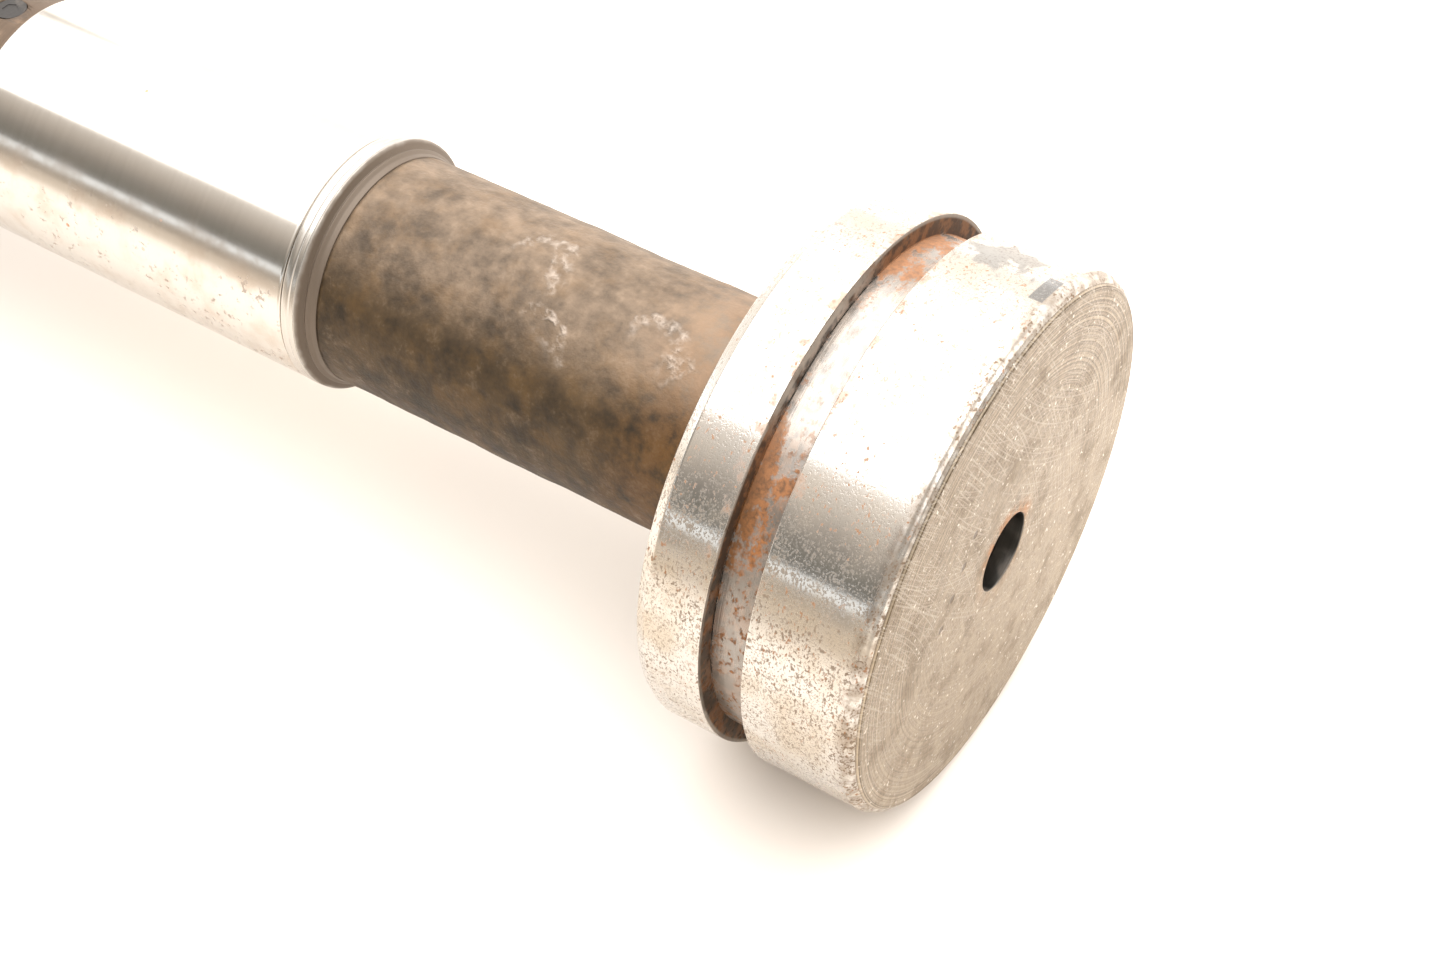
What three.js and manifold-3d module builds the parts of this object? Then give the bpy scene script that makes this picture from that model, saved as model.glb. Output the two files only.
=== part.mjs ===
// Built-up ring mandrel, carried between lathe centres.
//
// A dark forged bar runs the whole length. At one end it carries a ground and grooved steel
// head, and along it lies a bright ground seat that the rings are threaded onto. At the other
// end a keyed collar, a washer and a hex nut on the bar's thread clamp the rings.
//
// Millimetres, +Z up. The axis lies level along X with the head at +X. The mandrel rests on
// the lowest line of its head and on a flat of its clamp collar, both at z = 0, and x = 0 is
// half way along. Stations along the axis are distances from the head's outer face.

import * as THREE from 'three';
import { mergeVertices } from 'three/addons/utils/BufferGeometryUtils.js';
import Module from 'manifold-3d';

const wasm = await Module();
wasm.setup();

// ---- Driving dimensions ----------------------------------------------------------------

const HEAD_RADIUS = 38;            // ground lands of the head
const FACE_DROP = 1.3;             // how much smaller the outer face is, inside its edge break
const HEAD_EDGE = 1.9;             // length of the front edge break
const FRONT_LAND = 16.2;
const GROOVE_WIDTH = 6.1;
const GROOVE_DEPTH = 2.8;
const BACK_LAND = 9.8;
const BACK_EDGE = 1.6;             // length of the rear edge break
const BACK_EDGE_DROP = 0.9;

const CENTRE_RADIUS = 5.6;         // mouth of the lathe centre holes
const CENTRE_PILOT_RADIUS = 2.4;
const CENTRE_CONE_ANGLE = 60;      // degrees, all round
const BUSH_RADIUS = 9;
const TAIL_BUSH_RADIUS = 8;
const FACE_WEB = 3;                // steel left in front of the head's centre bush
const SPIGOT_START = 13;           // station of the bar's end inside the head

const SHANK_LENGTH = 67.8;         // forged bar between head and seat
const SHANK_DROP = 1.7;            // how much smaller the forged bar is than the seat
const SHOULDER_WIDTH = 5;
const SHOULDER_RISE = 0.1;         // the shoulder ring stands this far above the seat
const SEAT_RADIUS = 19.4;          // ground seat for the rings
const SEAT_LENGTH = 61.2;
const SEAT_WALL = 2.8;
const LOCK_RING_WIDTH = 10;
const LOCK_RING_DROP = 0.8;        // the lock ring passes through anything that fits the seat
const REAR_LENGTH = 49.9;          // forged bar behind the lock ring

const PILOT_LEAD = 14;             // turned length in front of the clamp collar at rest
const COLLAR_FLANGE = 14;
const COLLAR_LENGTH = 24;
const COLLAR_RIM = 4;              // how far the flange stands out past its flats
const COLLAR_TRAVEL = 8;           // either way from rest
const WASHER_THICKNESS = 4;
const WASHER_RIM = 2.5;            // how far the washer stands out past the nut's flats
const NUT_HEIGHT = 20;
const NUT_TO_THREAD = 46 / 30;     // width across flats of a hex nut to its thread diameter
const THREAD_SPARE = 3.9;          // thread left behind the nut when it is right back
const DRIVE_LENGTH = 28;           // end that the lathe dog grips
const DRIVE_FLAT_DEPTH = 2.5;

const SCREW_COUNT = 3;             // socket screws that hold the head collar
const SCREW_HEAD_SHARE = 0.76;     // of the ring's width that a screw's head takes
const SCREW_HEAD_TO_SHANK = 1.7;
const SCREW_GRIP = 11;             // length of shank inside the head disc

const HEAD_KEY = { width: 5, height: 5, length: 14 };
const COLLAR_KEY = { width: 8, height: 6, length: 22 };

const FIT = 0.1;                   // radial clearance between pieces that fit in each other
const JOINT_GAP = 0.05;            // gap between end faces that butt together
const EDGE = 0.6;                  // small edge breaks
const HEAD_SIDES = 72;
const BAR_SIDES = 48;
const BUSH_SIDES = 24;
const SCREW_SIDES = 12;

// ---- Stations along the axis, from the head's face to the tail ---------------------------

const GROOVE_END = FRONT_LAND + GROOVE_WIDTH;
const HEAD_LENGTH = GROOVE_END + BACK_LAND;
const SHOULDER_START = HEAD_LENGTH + SHANK_LENGTH;
const SEAT_START = SHOULDER_START + SHOULDER_WIDTH;
const SEAT_END = SEAT_START + SEAT_LENGTH;
const LOCK_RING_END = SEAT_END + LOCK_RING_WIDTH;
const PILOT_START = LOCK_RING_END + REAR_LENGTH;
const COLLAR_START = PILOT_START + PILOT_LEAD;
const COLLAR_END = COLLAR_START + COLLAR_LENGTH;
const PILOT_END = COLLAR_END - COLLAR_TRAVEL - 0.5;
const NUT_START = COLLAR_END + WASHER_THICKNESS + 2 * JOINT_GAP;
const NUT_END = NUT_START + NUT_HEIGHT;
const THREAD_END = NUT_END + COLLAR_TRAVEL + THREAD_SPARE;
const TOTAL_LENGTH = THREAD_END + DRIVE_LENGTH;

// ---- Radii that follow from the head and the seat -----------------------------------------

const FACE_RADIUS = HEAD_RADIUS - FACE_DROP;
const GROOVE_RADIUS = HEAD_RADIUS - GROOVE_DEPTH;
const COLLAR_RADIUS = HEAD_RADIUS + COLLAR_RIM;
const SHANK_RADIUS = SEAT_RADIUS - SHANK_DROP;
const SHOULDER_RADIUS = SEAT_RADIUS + SHOULDER_RISE;
const LOCK_RING_RADIUS = SEAT_RADIUS - LOCK_RING_DROP;
const SEAT_BORE = SEAT_RADIUS - SEAT_WALL;
const BAR_SEAT_RADIUS = SEAT_BORE - FIT;
const PILOT_RADIUS = BAR_SEAT_RADIUS - 0.5;
const THREAD_RADIUS = PILOT_RADIUS - 1;         // M30 coarse, as a plain cylinder
const THREAD_BORE = THREAD_RADIUS + FIT;
const DRIVE_RADIUS = THREAD_RADIUS - 2.5;
const COLLAR_HUB_RADIUS = PILOT_RADIUS + 8;
const NUT_ACROSS_FLATS = 2 * THREAD_RADIUS * NUT_TO_THREAD;
const WASHER_RADIUS = NUT_ACROSS_FLATS / 2 + WASHER_RIM;
const SPIGOT_RADIUS = SHANK_RADIUS - 3.7;
const HUB_RADIUS = SPIGOT_RADIUS + 0.42 * (HEAD_RADIUS - SPIGOT_RADIUS);

const SCREW_CIRCLE_RADIUS = (HUB_RADIUS + GROOVE_RADIUS) / 2;
const SCREW_HEAD_RADIUS = SCREW_HEAD_SHARE * (GROOVE_RADIUS - HUB_RADIUS) / 2;
const SCREW_SHANK_RADIUS = SCREW_HEAD_RADIUS / SCREW_HEAD_TO_SHANK;
const SCREW_HEAD_HEIGHT = 2 * SCREW_SHANK_RADIUS;

const BUSH_LENGTH = SPIGOT_START - FACE_WEB;
const CONE_SLOPE = Math.tan(THREE.MathUtils.degToRad(CENTRE_CONE_ANGLE / 2));
const CONE_DEPTH = (CENTRE_RADIUS - CENTRE_PILOT_RADIUS) / CONE_SLOPE;

// ---- Shape helpers ------------------------------------------------------------------------

// A turned solid about the axis. The outline is [station, radius] pairs: a bar's outline
// starts and ends on the axis, and a ring's closes on itself.
function turned(outline, sides) {
  const isRing = outline.every(([, radius]) => radius > 0);
  const points = outline.map(([station, radius]) => new THREE.Vector2(radius, -station));
  if (isRing) points.push(points[0].clone());
  if (THREE.ShapeUtils.area(points) < 0) points.reverse();
  return new THREE.LatheGeometry(points, sides).rotateZ(-Math.PI / 2);
}

// A plain cylinder about the axis between two stations, used as a cutter or a blank.
function cylinder(start, end, radius, sides) {
  return turned([[start, 0], [start, radius], [end, radius], [end, 0]], sides);
}

// A box between two stations, centred on y, from one height above the axis to another.
function block(start, end, width, low, high) {
  const box = new THREE.BoxGeometry(end - start, width, high - low);
  return box.translate(-(start + end) / 2, 0, (low + high) / 2);
}

function toSolid(geometry) {
  const bare = geometry.clone();
  bare.deleteAttribute('normal');
  bare.deleteAttribute('uv');
  const merged = mergeVertices(bare, 1e-4);
  const triVerts = new Uint32Array(withoutSlivers(merged.index.array));
  const vertProperties = new Float32Array(merged.attributes.position.array);
  return new wasm.Manifold(new wasm.Mesh({ numProp: 3, vertProperties, triVerts }));
}

// Triangles that collapse on the axis are dropped.
function withoutSlivers(index) {
  const kept = [];
  for (let i = 0; i < index.length; i += 3) {
    const [a, b, c] = [index[i], index[i + 1], index[i + 2]];
    if (a !== b && b !== c && c !== a) kept.push(a, b, c);
  }
  return kept;
}

function toGeometry(solid) {
  const { vertProperties, triVerts } = solid.getMesh();
  const geometry = new THREE.BufferGeometry();
  geometry.setAttribute('position', new THREE.BufferAttribute(vertProperties, 3));
  geometry.setIndex(new THREE.BufferAttribute(triVerts, 1));
  geometry.computeVertexNormals();
  return geometry;
}

function cut(body, ...tools) {
  let solid = toSolid(body);
  for (const tool of tools) {
    solid = solid.subtract(toSolid(tool));
  }
  return toGeometry(solid);
}

function common(body, ...others) {
  let solid = toSolid(body);
  for (const other of others) {
    solid = solid.intersect(toSolid(other));
  }
  return toGeometry(solid);
}

// ---- Finishes ------------------------------------------------------------------------------

function steel(colour, roughness, metalness) {
  return new THREE.MeshStandardMaterial({ color: colour, roughness, metalness });
}

const groundSteel = steel(0xb9b4ab, 0.22, 1);
const faceSteel = steel(0xa89c8c, 0.42, 0.9);
const brightSteel = steel(0xc9c6c0, 0.15, 1);
const forgedScale = steel(0x4a3e36, 0.7, 0.45);
const blackOxide = steel(0x2c2623, 0.55, 0.5);
const hardSteel = steel(0x6f6a63, 0.3, 1);

// ---- Assembly --------------------------------------------------------------------------------

const mandrel = new THREE.Group();
mandrel.position.set(TOTAL_LENGTH / 2, 0, HEAD_RADIUS);

function addPiece(name, geometry, material) {
  const mesh = new THREE.Mesh(geometry, material);
  mesh.name = name;
  mandrel.add(mesh);
  return mesh;
}

// ---- Keys: each lies in a slot of the bar and stands into a slot of the piece around it

function keySlot(start, key, seatRadius, side) {
  const low = seatRadius - key.height / 2 - FIT;
  const high = seatRadius + key.height / 2 + FIT;
  return block(start - side, start + key.length + side, key.width + 2 * FIT, low, high);
}

function keyBody(start, key, seatRadius) {
  return block(start, start + key.length, key.width, seatRadius - key.height / 2,
    seatRadius + key.height / 2);
}

const HEAD_KEY_START = HEAD_LENGTH - HEAD_KEY.length - 1;
const COLLAR_KEY_START = PILOT_END - COLLAR_KEY.length - 1;

// ---- Forged bar: spigot, shank, seat, pilot, thread and drive end, from head to tail

const barOutline = [
  [SPIGOT_START + 4 * JOINT_GAP, 0],
  [SPIGOT_START + 4 * JOINT_GAP, SPIGOT_RADIUS - EDGE],
  [SPIGOT_START + 4 * JOINT_GAP + EDGE, SPIGOT_RADIUS],
  [HEAD_LENGTH + JOINT_GAP, SPIGOT_RADIUS],
  [HEAD_LENGTH + JOINT_GAP, SHANK_RADIUS],
  [SHOULDER_START - JOINT_GAP, SHANK_RADIUS],
  [SHOULDER_START - JOINT_GAP, BAR_SEAT_RADIUS],
  [PILOT_START - EDGE, BAR_SEAT_RADIUS],
  [PILOT_START, PILOT_RADIUS],
  [PILOT_END, PILOT_RADIUS],
  [PILOT_END, THREAD_RADIUS],
  [THREAD_END - 1.5, THREAD_RADIUS],
  [THREAD_END, THREAD_RADIUS - 1.5],
  [THREAD_END, DRIVE_RADIUS],
  [TOTAL_LENGTH - EDGE, DRIVE_RADIUS],
  [TOTAL_LENGTH, DRIVE_RADIUS - EDGE],
  [TOTAL_LENGTH, 0],
];
const driveFlat = block(THREAD_END + 3, TOTAL_LENGTH + 1, 3 * DRIVE_RADIUS,
  DRIVE_RADIUS - DRIVE_FLAT_DEPTH, 2 * DRIVE_RADIUS);
const tailBushHole = cylinder(TOTAL_LENGTH - BUSH_LENGTH - FIT, TOTAL_LENGTH + 1,
  TAIL_BUSH_RADIUS + FIT, BUSH_SIDES);
addPiece('core_shaft', cut(
  turned(barOutline, BAR_SIDES),
  keySlot(HEAD_KEY_START, HEAD_KEY, SPIGOT_RADIUS, FIT),
  keySlot(COLLAR_KEY_START, COLLAR_KEY, PILOT_RADIUS, FIT),
  driveFlat,
  tailBushHole,
), forgedScale);

// ---- Head: a grooved disc with a hub, and a narrower collar screwed against its back

const discOutline = [
  [0, CENTRE_RADIUS],
  [0, FACE_RADIUS],
  [HEAD_EDGE, HEAD_RADIUS],
  [FRONT_LAND, HEAD_RADIUS],
  [FRONT_LAND, GROOVE_RADIUS],
  [GROOVE_END, GROOVE_RADIUS],
  [GROOVE_END, HUB_RADIUS],
  [HEAD_LENGTH, HUB_RADIUS],
  [HEAD_LENGTH, SPIGOT_RADIUS + FIT],
  [SPIGOT_START, SPIGOT_RADIUS + FIT],
  [SPIGOT_START, BUSH_RADIUS + FIT],
  [FACE_WEB, BUSH_RADIUS + FIT],
  [FACE_WEB, CENTRE_RADIUS],
];

const collarOutline = [
  [GROOVE_END + JOINT_GAP, HUB_RADIUS + FIT],
  [GROOVE_END + JOINT_GAP, HEAD_RADIUS],
  [HEAD_LENGTH - BACK_EDGE, HEAD_RADIUS],
  [HEAD_LENGTH, HEAD_RADIUS - BACK_EDGE_DROP],
  [HEAD_LENGTH, HUB_RADIUS + FIT],
];

// A socket screw lies along the axis with its head to the rear, in a counterbore.
const SCREW_HEAD_START = HEAD_LENGTH - SCREW_HEAD_HEIGHT - 0.4;
const SCREW_TIP = GROOVE_END - SCREW_GRIP;
const SOCKET_RADIUS = 0.54 * SCREW_HEAD_RADIUS;

function aroundHead(geometry, number) {
  const angle = (2 * Math.PI * number) / SCREW_COUNT;
  return geometry.translate(0, 0, SCREW_CIRCLE_RADIUS).rotateX(angle);
}

function screwHole(number) {
  const wide = SCREW_HEAD_RADIUS + 2 * FIT;
  const narrow = SCREW_SHANK_RADIUS + 2 * FIT;
  const hole = [
    [SCREW_TIP - 2, 0],
    [SCREW_TIP - 2, narrow],
    [SCREW_HEAD_START - 2 * JOINT_GAP, narrow],
    [SCREW_HEAD_START - 2 * JOINT_GAP, wide],
    [HEAD_LENGTH + 1, wide],
    [HEAD_LENGTH + 1, 0],
  ];
  return aroundHead(turned(hole, SCREW_SIDES), number);
}

function screw(number) {
  const headEnd = SCREW_HEAD_START + SCREW_HEAD_HEIGHT;
  const outline = [
    [SCREW_TIP, 0],
    [SCREW_TIP, SCREW_SHANK_RADIUS - EDGE],
    [SCREW_TIP + EDGE, SCREW_SHANK_RADIUS],
    [SCREW_HEAD_START, SCREW_SHANK_RADIUS],
    [SCREW_HEAD_START, SCREW_HEAD_RADIUS],
    [headEnd - 0.4, SCREW_HEAD_RADIUS],
    [headEnd, SCREW_HEAD_RADIUS - 0.4],
    [headEnd, 0],
  ];
  const socket = cylinder(headEnd - 2.5, headEnd + 1, SOCKET_RADIUS, 6);
  return aroundHead(cut(turned(outline, SCREW_SIDES), socket), number);
}

const screwNumbers = Array.from({ length: SCREW_COUNT }, (_, index) => index + 1);
const screwHoles = screwNumbers.map(screwHole);

addPiece('head_disc', cut(
  turned(discOutline, HEAD_SIDES),
  keySlot(HEAD_KEY_START, HEAD_KEY, SPIGOT_RADIUS, FIT),
  ...screwHoles,
), faceSteel);
addPiece('head_collar', cut(turned(collarOutline, HEAD_SIDES), ...screwHoles), groundSteel);
addPiece('head_key', keyBody(HEAD_KEY_START, HEAD_KEY, SPIGOT_RADIUS), hardSteel);
for (const number of screwNumbers) {
  addPiece(`collar_screw_${number}`, screw(number), blackOxide);
}

// ---- Hardened centre bushes: a 60 degree cone and a pilot hole for the lathe centre

function centreBush(mouth, direction, radius) {
  const at = (depth) => mouth + direction * depth;
  return turned([
    [at(0), CENTRE_RADIUS],
    [at(0), radius - 0.4],
    [at(0.4), radius],
    [at(BUSH_LENGTH - JOINT_GAP), radius],
    [at(BUSH_LENGTH - JOINT_GAP), CENTRE_PILOT_RADIUS],
    [at(CONE_DEPTH), CENTRE_PILOT_RADIUS],
  ], BUSH_SIDES);
}

addPiece('head_centre_bush', centreBush(FACE_WEB + JOINT_GAP, 1, BUSH_RADIUS), hardSteel);
addPiece('tail_centre_bush', centreBush(TOTAL_LENGTH, -1, TAIL_BUSH_RADIUS), hardSteel);

// ---- Seat: a stepped shoulder ring, the bright ground sleeve and a lock ring behind it

addPiece('front_shoulder_ring', turned([
  [SHOULDER_START, SEAT_BORE],
  [SHOULDER_START, SHANK_RADIUS],
  [SHOULDER_START + 1, SHANK_RADIUS + 1.1],
  [SHOULDER_START + 2.2, SHOULDER_RADIUS],
  [SEAT_START - JOINT_GAP - 0.4, SHOULDER_RADIUS],
  [SEAT_START - JOINT_GAP, SHOULDER_RADIUS - 0.4],
  [SEAT_START - JOINT_GAP, SEAT_BORE],
], BAR_SIDES), hardSteel);

addPiece('seat_sleeve', turned([
  [SEAT_START, SEAT_BORE],
  [SEAT_START, SEAT_RADIUS - 0.3],
  [SEAT_START + 0.3, SEAT_RADIUS],
  [SEAT_END - 0.5, SEAT_RADIUS],
  [SEAT_END, SEAT_RADIUS - 0.5],
  [SEAT_END, SEAT_BORE],
], BAR_SIDES), brightSteel);

const GRUB_RADIUS = 2.5;
const GRUB_STATION = SEAT_END + LOCK_RING_WIDTH / 2;
const grubHole = new THREE.CylinderGeometry(GRUB_RADIUS + FIT, GRUB_RADIUS + FIT, 12, SCREW_SIDES)
  .rotateX(Math.PI / 2)
  .translate(-GRUB_STATION, 0, SEAT_BORE + 4);
addPiece('rear_lock_ring', cut(turned([
  [SEAT_END + JOINT_GAP, SEAT_BORE],
  [SEAT_END + JOINT_GAP, LOCK_RING_RADIUS - EDGE],
  [SEAT_END + JOINT_GAP + EDGE, LOCK_RING_RADIUS],
  [LOCK_RING_END - EDGE, LOCK_RING_RADIUS],
  [LOCK_RING_END, LOCK_RING_RADIUS - EDGE],
  [LOCK_RING_END, SEAT_BORE],
], BAR_SIDES), grubHole), blackOxide);

const grubTop = LOCK_RING_RADIUS - 0.1;
const grubBottom = SEAT_BORE + JOINT_GAP;
const grub = new THREE.CylinderGeometry(GRUB_RADIUS, GRUB_RADIUS, grubTop - grubBottom, SCREW_SIDES);
const grubSocket = new THREE.CylinderGeometry(1.25, 1.25, 2, 6).translate(0, grubTop - grubBottom, 0);
addPiece('lock_ring_screw', cut(grub, grubSocket)
  .rotateX(Math.PI / 2)
  .translate(-GRUB_STATION, 0, (grubTop + grubBottom) / 2), blackOxide);

// ---- Clamp: a flanged collar keyed to the bar, a washer and a hex nut on the thread

const collarBlank = turned([
  [COLLAR_START, PILOT_RADIUS + FIT],
  [COLLAR_START, COLLAR_RADIUS - EDGE],
  [COLLAR_START + EDGE, COLLAR_RADIUS],
  [COLLAR_START + COLLAR_FLANGE - EDGE, COLLAR_RADIUS],
  [COLLAR_START + COLLAR_FLANGE, COLLAR_RADIUS - EDGE],
  [COLLAR_START + COLLAR_FLANGE, COLLAR_HUB_RADIUS],
  [COLLAR_END, COLLAR_HUB_RADIUS],
  [COLLAR_END, PILOT_RADIUS + FIT],
], HEAD_SIDES);
// Two spanner flats, as far across as the head's diameter, so the mandrel lies level on one.
const betweenFlats = block(COLLAR_START - 1, COLLAR_END + 1, 3 * COLLAR_RADIUS,
  -HEAD_RADIUS, HEAD_RADIUS);
const collarKeyway = block(COLLAR_START - 1, COLLAR_END + 1, COLLAR_KEY.width + 2 * FIT,
  0, PILOT_RADIUS + COLLAR_KEY.height / 2 + 2 * FIT);
const collarBore = cylinder(COLLAR_START - 2, COLLAR_END + 2, PILOT_RADIUS + FIT, HEAD_SIDES);
addPiece('clamp_collar', cut(common(collarBlank, betweenFlats), collarBore, collarKeyway),
  groundSteel);
addPiece('collar_key', keyBody(COLLAR_KEY_START, COLLAR_KEY, PILOT_RADIUS), hardSteel);

addPiece('thrust_washer', turned([
  [COLLAR_END + JOINT_GAP, THREAD_BORE],
  [COLLAR_END + JOINT_GAP, WASHER_RADIUS],
  [NUT_START - JOINT_GAP, WASHER_RADIUS],
  [NUT_START - JOINT_GAP, THREAD_BORE],
], BAR_SIDES), hardSteel);

// The nut is a hex bar turned down at its corners and bored for the thread.
const NUT_CORNER_RADIUS = NUT_ACROSS_FLATS / Math.sqrt(3);
const NUT_CHAMFER = 2;
const nutHex = cylinder(NUT_START, NUT_END, NUT_CORNER_RADIUS, 6);
const nutEnvelope = turned([
  [NUT_START, 0],
  [NUT_START, NUT_CORNER_RADIUS - NUT_CHAMFER - 1],
  [NUT_START + NUT_CHAMFER, NUT_CORNER_RADIUS + 0.5],
  [NUT_END - NUT_CHAMFER, NUT_CORNER_RADIUS + 0.5],
  [NUT_END, NUT_CORNER_RADIUS - NUT_CHAMFER - 1],
  [NUT_END, 0],
], BAR_SIDES);
const nutBore = cylinder(NUT_START - 1, NUT_END + 1, THREAD_BORE, BAR_SIDES);
addPiece('clamp_nut', cut(common(nutHex, nutEnvelope), nutBore), blackOxide);

export default mandrel;
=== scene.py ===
# %% [markdown]
# # A ring mandrel with a grooved head
# A ring mandrel of this kind is carried between lathe centres. A dark forged bar runs the whole
# length. One end has a thick round head, ground on its rims and turned on its face, and along
# the bar lies a bright ground seat. At the other end a collar, a washer and a hex nut clamp the
# rings that are threaded on. The solid model fixes every size and every motion, so the first
# thing to do is load it. Everything after that is about how the steel looks.

# %% Load the solid model
import math

import bmesh
import bpy
import numpy as np
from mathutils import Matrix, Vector, noise


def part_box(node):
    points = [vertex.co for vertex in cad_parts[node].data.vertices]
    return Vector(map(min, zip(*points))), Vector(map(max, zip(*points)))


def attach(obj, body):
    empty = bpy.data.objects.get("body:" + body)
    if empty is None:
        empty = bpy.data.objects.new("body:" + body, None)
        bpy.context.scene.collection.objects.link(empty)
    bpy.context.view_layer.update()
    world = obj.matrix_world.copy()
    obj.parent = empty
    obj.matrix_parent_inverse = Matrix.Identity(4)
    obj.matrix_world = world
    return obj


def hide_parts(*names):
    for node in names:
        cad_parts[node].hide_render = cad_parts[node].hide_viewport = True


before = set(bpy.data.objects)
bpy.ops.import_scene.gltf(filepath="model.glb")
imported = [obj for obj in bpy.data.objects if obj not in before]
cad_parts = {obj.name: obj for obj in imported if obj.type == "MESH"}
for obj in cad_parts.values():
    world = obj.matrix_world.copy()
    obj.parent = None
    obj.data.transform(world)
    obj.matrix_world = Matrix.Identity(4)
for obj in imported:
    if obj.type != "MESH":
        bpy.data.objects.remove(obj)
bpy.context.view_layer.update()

print("solids:", len(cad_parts))

# %% [markdown]
# ## Where things are
# A turner measures along the bar from one end, and so does this file: a station is a distance
# in millimetres from the outer face of the head, and a radius is a distance from the axis. The
# stations are read from the boxes of the solids, so a detailed piece always falls where the
# solid that it stands for is.

# %% Stations of the pieces
MM = 0.001
HEAD_LOW, HEAD_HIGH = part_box("head_disc")
HEAD_X = HEAD_HIGH[0]
AXIS_Z = (HEAD_LOW[2] + HEAD_HIGH[2]) / 2


def span(node):
    """First and last station of a solid, and its radius, in millimetres."""
    low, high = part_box(node)
    half_height = (high[2] - low[2]) / 2
    return (HEAD_X - high[0]) / MM, (HEAD_X - low[0]) / MM, half_height / MM


def off_axis(node):
    """How far a solid's middle lies to the side of the axis and above it, in millimetres."""
    low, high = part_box(node)
    return (low[1] + high[1]) / 2 / MM, ((low[2] + high[2]) / 2 - AXIS_Z) / MM


HEAD_START, HEAD_END, HEAD_RADIUS = span("head_disc")
COLLAR_START, COLLAR_END, _ = span("head_collar")
BAND_START, BAND_END, BAND_RADIUS = span("front_shoulder_ring")
SEAT_START, SEAT_END, SEAT_RADIUS = span("seat_sleeve")
LOCK_START, LOCK_END, LOCK_RADIUS = span("rear_lock_ring")
CLAMP_START, CLAMP_END, CLAMP_HALF_FLATS = span("clamp_collar")
WASHER_START, WASHER_END, WASHER_RADIUS = span("thrust_washer")
NUT_START, NUT_END, NUT_CORNER = span("clamp_nut")
BAR_START, BAR_END, SHANK_RADIUS = span("core_shaft")
TAIL_BUSH_START, _, TAIL_BUSH_RADIUS = span("tail_centre_bush")
HEAD_BUSH_START, _, HEAD_BUSH_RADIUS = span("head_centre_bush")
print(f"head {HEAD_START:.1f} to {HEAD_END:.1f} mm, seat {SEAT_START:.1f} to {SEAT_END:.1f} mm")

# %% [markdown]
# ## Turning a piece
# Nearly every piece here is turned on a lathe, so one helper spins an outline about the axis.
# Blender has a Screw modifier that could do it, but building the rings of points directly lets
# each stretch of the outline have its own finish: a ground land beside a rusty groove, say.
# Machined corners are never perfectly sharp, so the outline's corners are eased first with a
# short curve. That thin rounded edge is what catches the light on real steel.

# %% Ease the corners of an outline
def eased(outline, amount, closed=False, steps=4):
    """Round each corner of (station, radius, finish) points by up to amount millimetres."""
    count = len(outline)
    rounded = []
    for index, (station, radius, finish) in enumerate(outline):
        is_end = not closed and index in (0, count - 1)
        if is_end:
            rounded.append((station, radius, finish))
            continue
        corner = Vector((station, radius))
        before = Vector(outline[index - 1][:2])
        after = Vector(outline[(index + 1) % count][:2])
        reach_in = min(amount, 0.4 * (corner - before).length)
        reach_out = min(amount, 0.4 * (after - corner).length)
        start = corner + (before - corner).normalized() * reach_in
        end = corner + (after - corner).normalized() * reach_out
        for step in range(steps + 1):
            t = step / steps
            point = start * (1 - t) ** 2 + corner * 2 * t * (1 - t) + end * t * t
            part = outline[index - 1][2] if t < 0.5 else finish
            rounded.append((point.x, point.y, part))
    return rounded


# %% Spin an outline into a mesh
def place(station, radius, angle):
    """A point in metres. Angle 0 is straight up, and it grows towards the back, +Y."""
    return (
        HEAD_X - station * MM,
        radius * MM * math.sin(angle),
        AXIS_Z + radius * MM * math.cos(angle),
    )


def add_mesh(name, points, faces, face_finishes, finishes):
    mesh = bpy.data.meshes.new(name)
    mesh.from_pydata(points, [], faces)
    mesh.validate()
    for finish in finishes:
        mesh.materials.append(finish)
    mesh.polygons.foreach_set("material_index", face_finishes)
    mesh.polygons.foreach_set("use_smooth", [True] * len(mesh.polygons))
    piece = bpy.data.objects.new(name, mesh)
    bpy.context.scene.collection.objects.link(piece)
    return piece


def face_outwards(piece):
    """Turn the faces so that they look out of the solid."""
    shape = bmesh.new()
    shape.from_mesh(piece.data)
    bmesh.ops.recalc_face_normals(shape, faces=shape.faces)
    if shape.calc_volume(signed=True) < 0:
        bmesh.ops.reverse_faces(shape, faces=shape.faces)
    shape.to_mesh(piece.data)
    shape.free()


def turned(name, outline, finishes, sides=256, closed=False):
    """Spin (station, radius, finish number) points about the axis. A closed outline is a ring."""
    points, rows = [], []
    for station, radius, _ in outline:
        if radius < 1e-6:
            rows.append([len(points)] * sides)
            points.append(place(station, 0, 0))
        else:
            rows.append(list(range(len(points), len(points) + sides)))
            turn = 2 * math.pi / sides
            points += [place(station, radius, turn * step) for step in range(sides)]
    faces, face_finishes = [], []
    last = len(outline) if closed else len(outline) - 1
    for index in range(last):
        here, there = rows[index], rows[(index + 1) % len(rows)]
        for step in range(sides):
            beside = (step + 1) % sides
            corners = [here[step], here[beside], there[beside], there[step]]
            face = list(dict.fromkeys(corners))
            if len(face) > 2:
                faces.append(face)
                face_finishes.append(outline[index][2])
    piece = add_mesh(name, points, faces, face_finishes, finishes)
    face_outwards(piece)
    return piece


def turned_ring(name, outline, ease, finishes, sides):
    """Spin a closed outline whose corners are eased."""
    return turned(name, eased(outline, ease, closed=True), finishes, sides, closed=True)
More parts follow.
